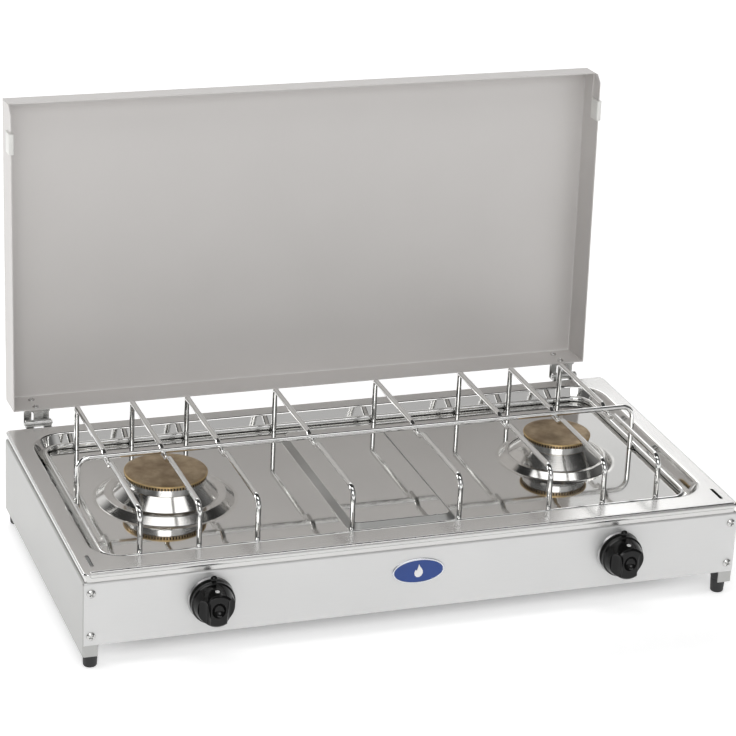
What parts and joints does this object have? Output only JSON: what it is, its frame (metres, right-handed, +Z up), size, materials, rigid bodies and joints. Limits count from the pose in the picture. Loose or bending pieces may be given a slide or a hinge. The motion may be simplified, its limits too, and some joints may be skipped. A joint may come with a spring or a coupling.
{
  "type": "camping stove",
  "caption": "Flat stainless gas stove with two unequal burners in a pressed tray, a chrome wire grate, front taps and a shallow lid hinged open behind.",
  "frame": {"origin": "on the surface the stove stands on, under the middle of its overall width and depth with the lid open", "axes": "+X to the right across the long side, +Y from the knobs to the lid hinge, +Z up"},
  "size_m": [0.5, 0.334, 0.3244],
  "materials": {
    "panel_steel": "satin rolled stainless sheet",
    "tray_steel": "bright rolled stainless sheet",
    "lid_steel": "dull rolled stainless sheet",
    "hinge_steel": "zinc-plated pressed steel",
    "fastener_steel": "bright zinc",
    "grate_chrome": "bright chrome-plated wire",
    "burner_aluminium": "turned die-cast aluminium",
    "cap_brass": "brass, toned brown on top by heat",
    "gas_brass": "machined brass",
    "pipe_steel": "zinc-plated steel",
    "collar_steel": "satin steel",
    "knob_black": "gloss black moulding",
    "foot_rubber": "black rubber",
    "clip_white": "white moulding",
    "badge_blue": "gloss blue oval with a pale edge and no lettering"
  },
  "bodies": {
    "casing": {"front_panel": "panel_steel", "back_panel": "panel_steel", "left_side_panel": "panel_steel", "right_side_panel": "panel_steel", "hob_tray": "tray_steel", "hob_floor": "tray_steel", "hob_boss_left": "tray_steel", "hob_boss_right": "tray_steel", "body_leaf_left": "hinge_steel", "body_leaf_right": "hinge_steel", "hinge_pin_left": "hinge_steel", "hinge_pin_right": "hinge_steel", "panel_screws": "fastener_steel", "body_hinge_rivets": "fastener_steel", "burner_cup_left": "burner_aluminium", "burner_cup_right": "burner_aluminium", "burner_lock_ring_left": "burner_aluminium", "burner_lock_ring_right": "burner_aluminium", "tap_body_left": "gas_brass", "tap_body_right": "gas_brass", "injector_left": "gas_brass", "injector_right": "gas_brass", "hose_inlet": "gas_brass", "gas_rail_plug": "gas_brass", "gas_rail": "pipe_steel", "rail_clip_left": "pipe_steel", "rail_clip_right": "pipe_steel", "tap_spring_left": "pipe_steel", "tap_spring_right": "pipe_steel", "knob_collar_left": "collar_steel", "knob_collar_right": "collar_steel", "foot_front_left": "foot_rubber", "foot_front_right": "foot_rubber", "foot_back_left": "foot_rubber", "foot_back_right": "foot_rubber", "badge": "badge_blue"},
    "lid": {"lid_shell": "lid_steel", "lid_clip_left": "clip_white", "lid_clip_right": "clip_white", "lid_leaf_left": "hinge_steel", "lid_leaf_right": "hinge_steel", "lid_hinge_screws": "fastener_steel"},
    "grate": {"grate_frame": "grate_chrome", "grate_long_hoop": "grate_chrome", "grate_hoop_1": "grate_chrome", "grate_hoop_2": "grate_chrome", "grate_hoop_3": "grate_chrome", "grate_hoop_4": "grate_chrome", "grate_hoop_5": "grate_chrome", "grate_hoop_6": "grate_chrome", "grate_hoop_7": "grate_chrome", "grate_hoop_8": "grate_chrome"},
    "burner_cap_left": {"burner_cap_left": "cap_brass"},
    "tap_plug_left": {"tap_plug_left": "gas_brass"},
    "knob_left": {"knob_left": "knob_black", "tap_stem_left": "pipe_steel"},
    "burner_cap_right": {"burner_cap_right": "cap_brass"},
    "tap_plug_right": {"tap_plug_right": "gas_brass"},
    "knob_right": {"knob_right": "knob_black", "tap_stem_right": "pipe_steel"}
  },
  "joints": [
    {"name": "lid_hinge", "type": "hinge", "parent": "casing", "child": "lid", "pos_m": [0, 0.12311, 0.073], "axis": [1, 0, 0], "range_deg": [0, 92.3]},
    {"name": "grate_lift", "type": "slide", "parent": "casing", "child": "grate", "axis": [0, 0, -1], "range_m": [-0.04, 0]},
    {"name": "burner_cap_left_lift", "type": "slide", "parent": "casing", "child": "burner_cap_left", "axis": [0, 0, 1], "range_m": [0, 0.005]},
    {"name": "tap_left_turn", "type": "hinge", "parent": "casing", "child": "tap_plug_left", "pos_m": [-0.1584, -0.13239, 0.046], "axis": [0, -1, 0], "range_deg": [0, 180]},
    {"name": "knob_left_push", "type": "slide", "parent": "tap_plug_left", "child": "knob_left", "axis": [0, 1, 0], "range_m": [0, 0.003], "stiffness_N_per_m": 800, "springref_m": -0.003, "deforming": ["tap_spring_left"]},
    {"name": "burner_cap_right_lift", "type": "slide", "parent": "casing", "child": "burner_cap_right", "axis": [0, 0, 1], "range_m": [0, 0.005]},
    {"name": "tap_right_turn", "type": "hinge", "parent": "casing", "child": "tap_plug_right", "pos_m": [0.1542, -0.13239, 0.046], "axis": [0, -1, 0], "range_deg": [0, 180]},
    {"name": "knob_right_push", "type": "slide", "parent": "tap_plug_right", "child": "knob_right", "axis": [0, 1, 0], "range_m": [0, 0.003], "stiffness_N_per_m": 800, "springref_m": -0.003, "deforming": ["tap_spring_right"]}
  ]
}
